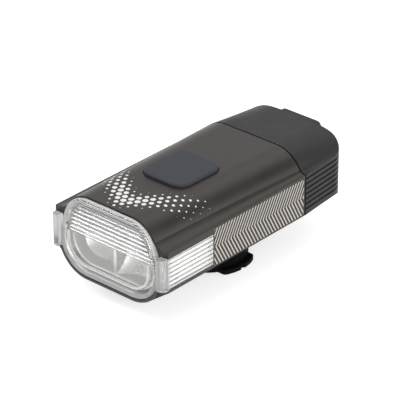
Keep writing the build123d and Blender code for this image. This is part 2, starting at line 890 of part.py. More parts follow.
# Driver chip and coil under the board
with BuildPart() as driver_chip:
    with Locations((coil_x, front_y + chip_reach, under_board_z)):
        Box(chip_side, chip_side, chip_height, align=hung)
driver_chip.part.label = "driver_chip"
with BuildPart() as driver_coil:
    with BuildSketch(Plane.XZ.offset(-(front_y + coil_reach))):
        with BuildLine():
            Polyline(
                (-coil_x, under_board_z),
                (-coil_x + coil_radius, under_board_z),
                (-coil_x + coil_radius, under_board_z - coil_rim),
                (-coil_x + coil_waist, under_board_z - coil_rim),
                (-coil_x + coil_waist, under_board_z - coil_height + coil_rim),
                (-coil_x + coil_radius, under_board_z - coil_height + coil_rim),
                (-coil_x + coil_radius, under_board_z - coil_height),
                (-coil_x, under_board_z - coil_height),
                close=True,
            )
        make_face()
    revolve(axis=Axis((-coil_x, front_y + coil_reach, 0), (0, 0, 1)))
driver_coil.part.label = "driver_coil"

# Charging socket under the board's rear end, with its blade
with BuildPart() as usb_socket:
    with BuildSketch(across(usb_mouth_y)):
        with Locations((0, port_z)):
            RectangleRounded(usb_width, usb_height, usb_round)
    extrude(amount=usb_length)
    with BuildSketch(across(usb_mouth_y)):
        with Locations((0, port_z)):
            RectangleRounded(usb_width - 2 * usb_shell, usb_height - 2 * usb_shell, usb_round - usb_shell)
    extrude(amount=usb_length - usb_back, mode=Mode.SUBTRACT)
    blade_span = (usb_mouth_y - usb_length, usb_mouth_y - usb_length + usb_back + usb_blade_length)
    blade_zs = (port_z - usb_blade_height / 2, port_z + usb_blade_height / 2)
    add(block(pair(usb_blade_width), blade_span, blade_zs))
usb_socket.part.label = "usb_socket"

# Battery and its two metal tabs
with BuildPart() as battery_pack:
    add(block(pair(pack_width), (pack_front_y, pack_back_y), (pack_z, pack_z + pack_height)))
    fillet(battery_pack.edges().filter_by(Axis.Y), pack_round)
battery_pack.part.label = "battery_pack"
with BuildPart() as battery_tabs:
    for x in pair(tab_spacing):
        tab_xs = (x - tab_width / 2, x + tab_width / 2)
        tab_zs = (pack_z + pack_height - tab_inset, under_board_z)
        add(block(tab_xs, (pack_back_y, pack_back_y + tab_thickness), tab_zs))
battery_tabs.part.label = "battery_tabs"

# Power button: hollow rubber cap with a flange under the shell and a nub over the plunger
with BuildPart() as power_button:
    with BuildSketch(Plane.XY.offset(flange_z)):
        with Locations((0, button_y)):
            RectangleRounded(button_width, button_length, button_radius)
    extrude(amount=button_top_z - flange_z)
    fillet(power_button.faces().sort_by(Axis.Z)[-1].edges(), button_top_round)
    with BuildSketch(Plane.XY.offset(flange_z)):
        with Locations((0, button_y)):
            RectangleRounded(
                button_width + 2 * button_flange,
                button_length + 2 * button_flange,
                button_radius + button_flange,
            )
    extrude(amount=button_flange_height)
    with BuildSketch(Plane.XY.offset(flange_z)):
        with Locations((0, button_y)):
            RectangleRounded(
                button_width - 2 * button_wall, button_length - 2 * button_wall, button_radius - button_wall
            )
    extrude(amount=button_top_z - button_roof - flange_z, mode=Mode.SUBTRACT)
    with Locations((0, button_y, plunger_top_z)):
        Cylinder(nub_radius, button_top_z - button_roof - plunger_top_z, align=seated)
power_button.part.label = "power_button"

# Rubber frame that keeps water out round the button, under the shell's ceiling
with BuildPart() as button_seal:
    with BuildSketch(Plane.XY.offset(seal_z)):
        with Locations((0, button_y)):
            opening_width = button_width + 2 * slide_gap
            opening_length = button_length + 2 * slide_gap
            opening_radius = button_radius + slide_gap
            RectangleRounded(
                opening_width + 2 * seal_width, opening_length + 2 * seal_width, opening_radius + seal_width
            )
            RectangleRounded(opening_width, opening_length, opening_radius, mode=Mode.SUBTRACT)
    extrude(amount=seal_thickness)
button_seal.part.label = "button_seal"

# Rubber cover of the charging port, round about its hinge at the lower edge
with BuildPart() as usb_cover:
    with BuildSketch(Plane.YZ.offset(-cover_width / 2)):
        with Locations((hinge_y, hinge_z)):
            Circle(cover_thickness / 2)
            Rectangle(cover_thickness, cover_top_z - hinge_z, align=(Align.CENTER, Align.MIN))
    extrude(amount=cover_width)
    cover_top = usb_cover.faces().sort_by(Axis.Z)[-1]
    fillet(cover_top.edges().filter_by(Axis.Y), cover_corner_radius)
    cover_front = usb_cover.faces().filter_by(Axis.Y).sort_by(Axis.Y)[-1]
    fillet(cover_front.edges().filter_by(Axis.Z, reverse=True).sort_by(Axis.Z)[1:], cover_edge_round)
    with BuildSketch(across(cover_y)):
        with Locations((0, port_z)):
            RectangleRounded(
                usb_width + 2 * (port_gap - cover_plug_gap),
                usb_height + 2 * (port_gap - cover_plug_gap),
                usb_round + port_gap - cover_plug_gap,
            )
    extrude(amount=cover_plug_depth)
usb_cover.part.label = "usb_cover"

# Fixed root of the cover, pressed into the cap by two studs
with BuildPart() as usb_cover_anchor:
    anchor_ys = (cover_seat_y, cover_seat_y + cover_thickness)
    add(block(pair(cover_width), anchor_ys, (anchor_z, anchor_top_z)))
    with BuildSketch(across(cover_seat_y)):
        with Locations(*[(x, anchor_z + anchor_height / 2) for x in pair(anchor_stud_spacing)]):
            Circle(anchor_stud_radius)
    extrude(amount=anchor_stud_depth)
usb_cover_anchor.part.label = "usb_cover_anchor"

# Screws of the tray, the cap and the bayonet plate
with BuildPart() as tray_screws:
    add(screws(tray_screw, tray_screw_places, belly_z, 0))
tray_screws.part.label = "tray_screws"
with BuildPart() as cap_screws:
    add(screws(cap_screw, cap_screw_places, belly_z, 0))
cap_screws.part.label = "cap_screws"
with BuildPart() as plate_screws:
    add(screws(plate_screw, plate_screw_places, 0, 0))
plate_screws.part.label = "plate_screws"

# Bayonet plate: two notched tabs that turn into the bracket
with BuildPart() as bayonet_plate:
    with BuildSketch(Plane.XY) as plate_sketch:
        add(plate_face(0))
        fillet(plate_sketch.vertices(), plate_corner)
        with Locations(*[(x, 0) for x in pair(2 * (plate_radius + notch_offset))]):
            Circle(notch_radius, mode=Mode.SUBTRACT)
    extrude(amount=plate_thickness)
    add(screws(plate_screw, plate_screw_places, 0, touch_gap), mode=Mode.SUBTRACT)
bayonet_plate.part.label = "bayonet_plate"

os.makedirs("parts", exist_ok=True)
nodes = [
    top_shell, lower_tray, rear_cap, rear_seal, front_lens, lens_gasket, side_window_left,
    side_window_right, reflector, led_board, heat_block, thermal_pad, led_flex, main_board, board_screws,
    tact_switch, switch_plunger, status_led, driver_chip, driver_coil, usb_socket, battery_pack,
    battery_tabs, power_button, button_seal, usb_cover, usb_cover_anchor, tray_screws, cap_screws,
    plate_screws, bayonet_plate,
]
for solid in [node.part for node in nodes] + leds:
    export_step(solid, f"parts/{solid.label}.step")
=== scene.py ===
"""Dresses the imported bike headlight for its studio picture, in metres, in the CAD model's frame."""
from __future__ import annotations

import json
import logging
import math
from abc import ABC, abstractmethod
from dataclasses import dataclass, field
from enum import Enum, auto
from typing import Callable, Union

import bmesh
import bpy
from mathutils import Matrix, Vector

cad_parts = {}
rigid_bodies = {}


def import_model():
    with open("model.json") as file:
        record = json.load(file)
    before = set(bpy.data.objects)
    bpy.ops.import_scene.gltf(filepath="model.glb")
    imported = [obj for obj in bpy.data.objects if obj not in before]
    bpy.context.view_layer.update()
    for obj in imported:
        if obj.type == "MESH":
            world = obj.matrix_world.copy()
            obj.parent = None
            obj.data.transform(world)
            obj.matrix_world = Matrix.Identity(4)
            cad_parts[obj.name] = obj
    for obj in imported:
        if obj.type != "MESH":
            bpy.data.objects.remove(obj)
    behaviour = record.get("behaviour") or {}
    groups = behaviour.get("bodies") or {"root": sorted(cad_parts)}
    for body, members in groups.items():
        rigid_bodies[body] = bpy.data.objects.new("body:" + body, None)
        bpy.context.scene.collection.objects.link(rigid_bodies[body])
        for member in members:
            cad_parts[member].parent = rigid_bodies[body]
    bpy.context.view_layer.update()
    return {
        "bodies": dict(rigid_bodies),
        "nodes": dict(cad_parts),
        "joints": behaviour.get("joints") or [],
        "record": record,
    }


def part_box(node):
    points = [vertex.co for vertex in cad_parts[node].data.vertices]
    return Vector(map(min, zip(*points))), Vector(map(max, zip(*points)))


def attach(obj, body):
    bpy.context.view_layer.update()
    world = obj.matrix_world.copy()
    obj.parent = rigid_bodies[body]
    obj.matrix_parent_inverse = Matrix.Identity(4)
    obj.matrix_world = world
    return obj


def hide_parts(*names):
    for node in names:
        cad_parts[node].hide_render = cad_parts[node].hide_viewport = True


LOG = logging.getLogger("bike_headlight")
MM = 0.001
PAST_MM = 1.0  # How far a zone reaches past the box that it follows
Colour = tuple[float, float, float, float]
Span = tuple[float, float]
Direction = tuple[float, float, float]
Ring = list[bmesh.types.BMEdge]
Input = Union[bpy.types.Node, bpy.types.NodeSocket, float, tuple, None]


def srgb(code: str) -> Colour:
    """Turns an sRGB hex colour to a linear one.

    Args:
        code: Six hex digits.

    Returns:
        Linear red, green and blue, and full opacity.
    """
    channels = [int(code[i : i + 2], 16) / 255 for i in (0, 2, 4)]
    linear = [c / 12.92 if c <= 0.04045 else ((c + 0.055) / 1.055) ** 2.4 for c in channels]
    return (linear[0], linear[1], linear[2], 1.0)


def link(name: str, mesh: bmesh.types.BMesh, material: bpy.types.Material) -> bpy.types.Object:
    """Makes an object of a mesh that is in its place, and frees the mesh.

    Args:
        name: Name of the object.
        mesh: Its shape.
        material: Its finish.

    Returns:
        The object, linked to the scene.
    """
    data = bpy.data.meshes.new(name)
    mesh.to_mesh(data)
    mesh.free()
    data.materials.append(material)
    made = bpy.data.objects.new(name, data)
    bpy.context.scene.collection.objects.link(made)
    return made


def facing(direction: Direction, distance: float) -> Matrix:
    """Place of a lamp or a card that looks at the origin.

    Args:
        direction: Where it stands, seen from the origin.
        distance: How far away it stands, in metres.

    Returns:
        Its matrix.
    """
    away = Vector(direction).normalized()
    return Matrix.Translation(away * distance) @ away.to_track_quat("Z", "Y").to_matrix().to_4x4()


class NodeSheet:
    """The node tree of a material or a world, with one short way to add nodes to it."""

    def __init__(self, owner: bpy.types.Material | bpy.types.World) -> None:
        """Starts with an empty tree.

        Args:
            owner: Material or world that the tree belongs to.
        """
        owner.use_nodes = True
        self.owner = owner
        self.tree = owner.node_tree
        self.tree.nodes.clear()

    def add(
        self,
        kind: str,
        *values: Input,
        named: dict[str | int, Input] | None = None,
        **settings: object,
    ) -> bpy.types.Node:
        """Adds a node, sets its properties and fills its inputs.

        Args:
            kind: Node type, without the word ShaderNode.
            *values: Node, socket or value of each input from the first on. None skips one.
            named: The same for inputs by name or number.
            **settings: Properties of the node.

        Returns:
            The node.
        """
        node = self.tree.nodes.new("ShaderNode" + kind)
        for key, value in settings.items():
            setattr(node, key, value)
        for key, value in {**dict(enumerate(values)), **(named or {})}.items():
            if isinstance(value, bpy.types.Node):
                value = value.outputs[0]
            if isinstance(value, bpy.types.NodeSocket):
                self.tree.links.new(value, node.inputs[key])
            elif value is not None:
                node.inputs[key].default_value = value
        return node

    def finish(self, shader: bpy.types.Node) -> bpy.types.Material | bpy.types.World:
        """Links the shader to the output.

        Args:
            shader: Last node of the surface or the background.

        Returns:
            The owner of the tree.
        """
        kind = "OutputWorld" if isinstance(self.owner, bpy.types.World) else "OutputMaterial"
        self.add(kind, shader)
        return self.owner


@dataclass(frozen=True)
class Place:
    """A point's object coordinates in millimetres, as sockets of one sheet."""

    sheet: NodeSheet
    x: bpy.types.NodeSocket
    y: bpy.types.NodeSocket
    z: bpy.types.NodeSocket
    side: bpy.types.NodeSocket

    @classmethod
    def on(cls, sheet: NodeSheet) -> Place:
        """Reads the coordinates on a sheet, with the distance from the middle plane as side.

        Args:
            sheet: Sheet that they go on.

        Returns:
            The place.
        """
        point = sheet.add("TexCoord").outputs["Object"]
        scaled = sheet.add("VectorMath", point, named={"Scale": 1 / MM}, operation="SCALE")
        axes = sheet.add("SeparateXYZ", scaled)
        side = sheet.add("Math", axes.outputs[0], operation="ABSOLUTE")
        return cls(sheet, axes.outputs[0], axes.outputs[1], axes.outputs[2], side.outputs[0])


@dataclass(frozen=True)
class Zone:
    """A box of space, alike on both sides of the light, that masks one region of a material."""

    side: Span
    along: Span
    up: Span

    def mask(self, place: Place) -> bpy.types.Node:
        """Mask that is 1 inside the zone.

        Args:
            place: Where the shaded point is.

        Returns:
            The mask's node.
        """
        sheet = place.sheet
        inside = [
            sheet.add("Math", value, (low + high) / 2, (high - low) / 2, operation="COMPARE")
            for value, (low, high) in (
                (place.side, self.side),
                (place.y, self.along),
                (place.z, self.up),
            )
        ]
        both = sheet.add("Math", inside[0], inside[1], operation="MULTIPLY")
        return sheet.add("Math", both, inside[2], operation="MULTIPLY")


@dataclass(frozen=True)
class RoundedEdge:
    """The upper or lower edge of a form's outline from the front, with its rounded corners."""

    half: float
    level: float
    corner: float
    lower: bool

    def inset(self, place: Place) -> bpy.types.Node:
        """How far inside the outline a point is.

        Args:
            place: Where the shaded point is.

        Returns:
            The distance's node, in millimetres.
        """
        sheet = place.sheet
        out = sheet.add("Math", place.side, self.half - self.corner, operation="SUBTRACT")
        if self.lower:
            ends = (self.level + self.corner, place.z)
        else:
            ends = (place.z, self.level - self.corner)
        on = sheet.add("Math", *ends, operation="SUBTRACT")
        past = [sheet.add("Math", value, 0.0, operation="MAXIMUM") for value in (out, on)]
        bend = sheet.add("VectorMath", sheet.add("CombineXYZ", *past), operation="LENGTH")
        most = sheet.add("Math", out, on, operation="MAXIMUM")
        inside = sheet.add("Math", most, 0.0, operation="MINIMUM")
        reach = sheet.add("Math", bend.outputs["Value"], inside, operation="ADD")
        return sheet.add("Math", self.corner, reach, operation="SUBTRACT")


@dataclass(frozen=True)
class Box:
    """Lowest and highest corner of a CAD node, in millimetres."""

    low: Vector
    high: Vector

    @classmethod
    def of(cls, node: str) -> Box:
        """The box of a node by name."""
        low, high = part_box(node)
        return cls(low / MM, high / MM)

    @property
    def middle(self) -> Vector:
        """The middle of the box."""
        return (self.low + self.high) / 2

    @property
    def half(self) -> Vector:
        """Half the size of the box."""
        return (self.high - self.low) / 2


@dataclass(frozen=True)
class Grain:
    """A fine unevenness of a surface, from noise of a real size."""

    size_mm: float
    height_mm: float = 0.0
    detail: float = 2.0
    lowest: float = 0.25
    highest: float = 0.75

    def noise(self, sheet: NodeSheet) -> bpy.types.Node:
        """The noise itself.

        Args:
            sheet: Sheet that it goes on.

        Returns:
            Its node, with values from 0 to 1.
        """
        point = sheet.add("TexCoord").outputs["Object"]
        named = {"Vector": point, "Scale": 1 / (self.size_mm * MM), "Detail": self.detail}
        return sheet.add("TexNoise", named=named)

    def normal(self, sheet: NodeSheet) -> bpy.types.Node:
        """Normal that the grain gives to the surface."""
        height = self.noise(sheet)
        return sheet.add("Bump", named={"Height": height, "Distance": self.height_mm * MM})

    def spread(self, sheet: NodeSheet, middle: float, share: float) -> bpy.types.Node:
        """A value that wanders round its middle with the noise.

        Args:
            sheet: Sheet that it goes on.
            middle: Mean value.
            share: How far it wanders to each side.

        Returns:
            The value's node.
        """
        ends = (middle - share, middle + share)
        return sheet.add("MapRange", self.noise(sheet), self.lowest, self.highest, *ends)


class Recipe(ABC):
    """How one finish is built."""

    name: str

    @abstractmethod
    def surface(self, sheet: NodeSheet) -> bpy.types.Node:
        """Builds the surface and gives its shader."""

    def build(self) -> bpy.types.Material:
        """Builds the material."""
        sheet = NodeSheet(bpy.data.materials.new(self.name))
        return sheet.finish(self.surface(sheet))


@dataclass(frozen=True)
class Plain(Recipe):
    """A surface of one material, with a fine grain and slight changes of tone and gloss."""

    name: str
    colour: str
    roughness: float
    metallic: float = 0.0
    ior: float = 1.5
    specular: float = 0.5
    grain: Grain = Grain(0.35, 0.01)
    cloud: Grain = Grain(5.0, detail=3.0)
    tone_spread: float = 0.06
    gloss_spread: float = 0.05

    def surface(self, sheet: NodeSheet) -> bpy.types.Node:
        """Builds the surface.

        Args:
            sheet: Sheet that it goes on.

        Returns:
            The shader's node.
        """
        tone = self.cloud.spread(sheet, 1.0, self.tone_spread)
        named = {0: srgb(self.colour)[:3], "Scale": tone}
        shade = sheet.add("VectorMath", named=named, operation="SCALE")
        named = {
            "Base Color": shade,
            "Roughness": self.cloud.spread(sheet, self.roughness, self.gloss_spread),
            "Metallic": self.metallic,
            "IOR": self.ior,
            "Specular IOR Level": self.specular,
            "Normal": self.grain.normal(sheet),
        }
        return sheet.add("BsdfPrincipled", named=named)


@dataclass(frozen=True)
class TwoFinish(Plain):
    """A moulding whose foot, below a height, takes another finish."""

    foot: Plain | None = None
    foot_top: float = 0.0

    def surface(self, sheet: NodeSheet) -> bpy.types.Node:
        """Builds the surface and gives its shader."""
        # Below foot_top the surface takes the foot's finish, so the moulding turns near black there
        below = sheet.add("Math", Place.on(sheet).z, self.foot_top, operation="LESS_THAN")
        return sheet.add("MixShader", below, super().surface(sheet), self.foot.surface(sheet))


@dataclass(frozen=True)
class Clear:
    """Clear polycarbonate, through which the lamps light what is behind it."""

    tint: str = "F9F9F8"
    roughness: float = 0.04
    ior: float = 1.585
    through: str = "ECECEB"

    def shader(self, sheet: NodeSheet) -> bpy.types.Node:
        """Shader that refracts what is seen and lets scattered and lamp light straight through.

        Args:
            sheet: Sheet that it goes on.

        Returns:
            The shader's node.
        """
        named = {
            "Base Color": srgb(self.tint),
            "Roughness": self.roughness,
            "IOR": self.ior,
            "Transmission Weight": 1.0,
        }
        glass = sheet.add("BsdfPrincipled", named=named)
        rays = sheet.add("LightPath").outputs
        shadow, scattered = rays["Is Shadow Ray"], rays["Is Diffuse Ray"]
        straight = sheet.add("Math", shadow, scattered, operation="MAXIMUM")
        open_way = sheet.add("BsdfTransparent", srgb(self.through))
        return sheet.add("MixShader", straight, glass, open_way)


@dataclass(frozen=True)
class Unrolled:
    """The shell's top laid flat: distance from the middle, over the roof and round the shoulder."""

    shell: Box
    front_flat_half: float = 8.0
    rear_flat_half: float = 9.5
    front_radius: float = 9.3
    rear_radius: float = 10.04
    skin: float = 0.5

    def distance(self, place: Place) -> tuple[bpy.types.Node, bpy.types.Node]:
        """Unrolled distance from the middle, and a mask that is 1 on the outer skin.

        Args:
            place: Where the shaded point is.

        Returns:
            The distance's node and the mask's node.
        """
        sheet = place.sheet
        ends = (self.shell.low.y, self.shell.high.y)
        flat = sheet.add("MapRange", place.y, *ends, self.front_flat_half, self.rear_flat_half)
        radius = sheet.add("MapRange", place.y, *ends, self.front_radius, self.rear_radius)
        past = sheet.add("Math", place.side, flat, operation="SUBTRACT")
        over = sheet.add("Math", past, 0.0, operation="MAXIMUM")
        centre = sheet.add("Math", self.shell.high.z, radius, operation="SUBTRACT")
        rise = sheet.add("Math", place.z, centre, operation="SUBTRACT")
        angle = sheet.add("Math", over, rise, operation="ARCTAN2")
        level = sheet.add("Math", place.side, flat, operation="MINIMUM")
        distance = sheet.add("Math", radius, angle, level, operation="MULTIPLY_ADD")
        reach = sheet.add("VectorMath", sheet.add("CombineXYZ", over, rise), operation="LENGTH")
        inner = sheet.add("Math", radius, self.skin, operation="SUBTRACT")
        skin = sheet.add("Math", reach.outputs["Value"], inner, operation="GREATER_THAN")
        return distance, skin


@dataclass(frozen=True)
class DotPrint:
    """Screen-printed round dots in staggered rows, in a V that points forward and thins out."""

    unrolled: Unrolled
    pitch: float = 2.3
    row: float = 1.9
    radius: float = 0.86
    point_from_front: float = 5.0
    rake: float = 0.8
    half_width: float = 6.5
    reach: float = 19.0
    edge: float = 1.3

    def mask(self, place: Place) -> bpy.types.Node:
        """Mask that is 1 on the dots.

        Args:
            place: Where the shaded point is.

        Returns:
            The mask's node.
        """
        sheet = place.sheet
        distance, skin = self.unrolled.distance(place)
        near = None
        for stagger in (0.0, 0.5):
            offsets = []
            for value, pitch in ((distance, self.pitch), (place.y, 2 * self.row)):
                turns = sheet.add("Math", value, 1 / pitch, stagger, operation="MULTIPLY_ADD")
                turn = sheet.add("Math", turns, 1.0, 0.0, operation="WRAP")
                offset = sheet.add("Math", turn, 0.5, operation="SUBTRACT")
                offsets.append(sheet.add("Math", offset, pitch, operation="MULTIPLY"))
            away = sheet.add("VectorMath", sheet.add("CombineXYZ", *offsets), operation="LENGTH")
            gap = away.outputs["Value"]
            near = gap if near is None else sheet.add("Math", near, gap, operation="MINIMUM")
        dots = sheet.add("Math", near, self.size(place, distance), operation="LESS_THAN")
        return sheet.add("Math", dots, skin, operation="MULTIPLY")

    def size(self, place: Place, distance: bpy.types.Node) -> bpy.types.Node:
        """Radius of the dots at a point, which falls to nothing at the edges of the V.

        Args:
            place: Where the shaded point is.
            distance: Its unrolled distance from the middle.

        Returns:
            The radius's node.
        """
        sheet = place.sheet
        tip = self.unrolled.shell.low.y + self.point_from_front
        spine = sheet.add("Math", distance, self.rake, tip, operation="MULTIPLY_ADD")
        off = sheet.add("Math", place.y, spine, operation="SUBTRACT")
        off = sheet.add("Math", off, operation="ABSOLUTE")
        share = sheet.add("MapRange", off, 0.0, self.half_width, self.edge, 0.0)
        end = sheet.add("MapRange", distance, 0.0, self.reach, self.edge, 0.0)
        least = sheet.add("Math", share, end, operation="MINIMUM")
        capped = sheet.add("Math", least, 1.0, operation="MINIMUM")
        return sheet.add("Math", capped, self.radius, operation="MULTIPLY")


@dataclass(frozen=True)
class ChevronPrint:
    """Screen-printed chevron lines on the upright sides, from behind the window to the seam."""

    shell: Box
    window: Box
    pitch: float = 1.25
    line: float = 0.44
    rake: float = 0.55
    margin: float = 0.5
    crease_drop: float = 7.0
    skin: float = 1.3

    def mask(self, place: Place) -> bpy.types.Node:
        """Mask that is 1 on the lines.

        Args:
            place: Where the shaded point is.

        Returns:
            The mask's node.
        """
        sheet = place.sheet
        foot, crease = self.shell.low.z + self.margin, self.shell.high.z - self.crease_drop
        span = (self.window.high.y + self.margin, self.shell.high.y - self.margin)
        outer = (self.shell.high.x - self.skin, self.shell.high.x + PAST_MM)
        printed = Zone(outer, span, (foot, crease)).mask(place)
        from_row = sheet.add("Math", place.z, (foot + crease) / 2, operation="SUBTRACT")
        from_row = sheet.add("Math", from_row, operation="ABSOLUTE")
        back = sheet.add("Math", from_row, self.rake, operation="MULTIPLY")
        run = sheet.add("Math", place.y, back, operation="SUBTRACT")
        turn = sheet.add("Math", run, self.pitch, 0.0, operation="WRAP")
        lines = sheet.add("Math", turn, self.line, operation="LESS_THAN")
        return sheet.add("Math", lines, printed, operation="MULTIPLY")


# Hard-anodised aluminium, bead-blasted before it: dark bronze-grey with a soft metal sheen along
# the shoulders, white printed dots, pale grey printed lines, and a bright milled land that holds
# the lens
@dataclass(frozen=True)
class AnodisedShell(Recipe):
    """Printed and anodised aluminium of the upper shell."""

    shell: Box
    window: Box
    lens: Box
    name: str = "anodised_blasted_aluminium"
    colour: str = "3A3633"
    ink: str = "EEEDE9"
    line_ink: str = "CDC8C1"
    bare: str = "B9BABB"
    roughness: float = 0.4
    metallic: float = 0.6
    blast: Grain = Grain(0.12, 0.004)
    cloud: Grain = Grain(6.0, detail=3.0)
    tone_spread: float = 0.05
    gloss_spread: float = 0.03
    land_depth: float = 2.65
    land_power: float = 2.5
    land_share: float = 0.97

    def land(self, place: Place) -> bpy.types.Node:
        """Mask of the land and the opening that hold the lens.

        Args:
            place: Where the shaded point is.

        Returns:
            The mask's node.
        """
        sheet = place.sheet
        terms = []
        for value, middle, half in (
            (place.x, self.lens.middle.x, self.lens.half.x),
            (place.z, self.lens.middle.z, self.lens.half.z),
        ):
            share = sheet.add("Math", value, middle, operation="SUBTRACT")
            share = sheet.add("Math", share, 1 / half, operation="MULTIPLY")
            share = sheet.add("Math", share, operation="ABSOLUTE")
            terms.append(sheet.add("Math", share, self.land_power, operation="POWER"))
        total = sheet.add("Math", *terms, operation="ADD")
        inside = sheet.add("Math", total, self.land_share, operation="LESS_THAN")
        ring = sheet.add("Math", place.y, self.shell.low.y, self.land_depth, operation="COMPARE")
        return sheet.add("Math", inside, ring, operation="MULTIPLY")

    def surface(self, sheet: NodeSheet) -> bpy.types.Node:
        """Builds the surface.

        Args:
            sheet: Sheet that it goes on.

        Returns:
            The shader's node.
        """
        place = Place.on(sheet)
        dots = DotPrint(Unrolled(self.shell)).mask(place)
        lines = ChevronPrint(self.shell, self.window).mask(place)
        ink = sheet.add("Math", dots, lines, operation="MAXIMUM")
        land = self.land(place)
        tone = self.cloud.spread(sheet, 1.0, self.tone_spread)
        named = {0: srgb(self.colour)[:3], "Scale": tone}
        dye = sheet.add("VectorMath", named=named, operation="SCALE")
        bared = sheet.add("Mix", land, named={6: dye, 7: srgb(self.bare)}, data_type="RGBA")
        named = {6: srgb(self.ink), 7: srgb(self.line_ink)}
        printed = sheet.add("Mix", lines, named=named, data_type="RGBA")
        named = {6: bared.outputs[2], 7: printed.outputs[2]}
        colour = sheet.add("Mix", ink, named=named, data_type="RGBA")
        named = {
            "Base Color": colour.outputs[2],
            "Metallic": sheet.add("MapRange", ink, 0.0, 1.0, self.metallic, 0.0),
            "Roughness": self.cloud.spread(sheet, self.roughness, self.gloss_spread),
            "Normal": self.blast.normal(sheet),
        }
        return sheet.add("BsdfPrincipled", named=named)


# Clear polycarbonate, injection moulded: polished where the beam leaves, with sharp white glints
# and fine frosted lines on the flutes, and a hazy border that looks pale grey and hides the seat.
# The lines stand 0.66 mm apart, half the flutes' pitch, which is as fine as the picture can show
@dataclass(frozen=True)
class ClearLens(Recipe):
    """Polycarbonate of the front lens."""

    lens: Box
    reflector: Box
    name: str = "clear_moulded_polycarbonate"
    clear: Clear = Clear()
    haze: str = "F8F8F7"
    haze_roughness: float = 0.45
    haze_transmission: float = 0.25
    border_haze: float = 0.22
    flute_haze: float = 0.03
    window_haze: float = 0.03
    edge_highlight_haze: float = 0.95
    rim_haze: float = 0.7
    face: float = 0.35
    wall: float = 0.8
    corner: float = 6.6
    edge: float = 0.5
    rim: float = 1.2
    line_pitch: float = 0.66
    line: float = 0.2
    line_haze: float = 0.22
    border_line_haze: float = 0.85
    border: float = 2.6
    top_corner: float = 9.2

    def painted_edge_highlight(self, place: Place) -> bpy.types.Node:
        """Mask of the painted highlight along the lower window's edge: a frosted white line in place
        of the glint that refraction throws at the step.

        Args:
            place: Where the shaded point is.

        Returns:
            The mask's node.
        """
        sheet = place.sheet
        half, foot = self.reflector.high.x - self.wall, self.reflector.low.z + self.wall
        inset = RoundedEdge(half, foot, self.corner, lower=True).inset(place)
        line = sheet.add("Math", inset, self.edge / 2, self.edge / 2, operation="COMPARE")
        low = sheet.add("Math", place.z, self.reflector.high.z, operation="LESS_THAN")
        return sheet.add("Math", line, low, operation="MULTIPLY")

    def lines(self, place: Place, flutes: bpy.types.Node) -> bpy.types.Node:
        """Haze of the fine lines before the flutes, which are strongest on the top border.

        Args:
            place: Where the shaded point is.
            flutes: Mask of the lens's upper half.

        Returns:
            The haze's node.
        """
        sheet = place.sheet
        turn = sheet.add("Math", place.z, self.line_pitch, 0.0, operation="WRAP")
        line = sheet.add("Math", turn, self.line, operation="LESS_THAN")
        face = sheet.add("Math", place.y, self.lens.low.y + self.rim, operation="LESS_THAN")
        line = sheet.add("Math", line, face, operation="MULTIPLY")
        line = sheet.add("Math", line, flutes, operation="MULTIPLY")
        outline = RoundedEdge(self.lens.high.x, self.lens.high.z, self.top_corner, lower=False)
        border = sheet.add("Math", outline.inset(place), self.border, operation="LESS_THAN")
        haze = sheet.add("MapRange", border, 0.0, 1.0, self.line_haze, self.border_line_haze)
        return sheet.add("Math", line, haze, operation="MULTIPLY")

    def surface(self, sheet: NodeSheet) -> bpy.types.Node:
        """Builds the surface.

        Args:
            sheet: Sheet that it goes on.

        Returns:
            The shader's node.
        """
        place = Place.on(sheet)
        half = self.reflector.high.x - self.wall
        depth = (self.lens.low.y - PAST_MM, self.lens.high.y + PAST_MM)
        foot, top = self.reflector.low.z + self.wall, self.reflector.high.z
        window = Zone((0.0, half), depth, (foot, top)).mask(place)
        flutes = sheet.add("Math", place.z, top, operation="GREATER_THAN")
        named = {
            "Base Color": srgb(self.haze),
            "Roughness": self.haze_roughness,
            "IOR": self.clear.ior,
            "Transmission Weight": self.haze_transmission,
        }
        frosted = sheet.add("BsdfPrincipled", named=named)
        inner = sheet.add("MapRange", flutes, 0.0, 1.0, self.border_haze, self.flute_haze)
        amount = sheet.add("Mix", window, named={2: inner, 3: self.window_haze}, data_type="FLOAT")
        # Painted highlight: a frosted white line along the lower window's edge stands in for the
        # glint of refraction there
        edge = sheet.add("Math", self.painted_edge_highlight(place), self.edge_highlight_haze, operation="MULTIPLY")
        amount = sheet.add("Math", amount.outputs[0], edge, operation="MAXIMUM")
        middle = self.lens.low.y + (self.face + self.rim) / 2
        rim = sheet.add("Math", place.y, middle, (self.rim - self.face) / 2, operation="COMPARE")
        rim = sheet.add("Math", rim, self.rim_haze, operation="MULTIPLY")
        amount = sheet.add("Math", amount, rim, operation="MAXIMUM")
        amount = sheet.add("Math", amount, self.lines(place, flutes), operation="MAXIMUM")
        return sheet.add("MixShader", amount, self.clear.shader(sheet), frosted)


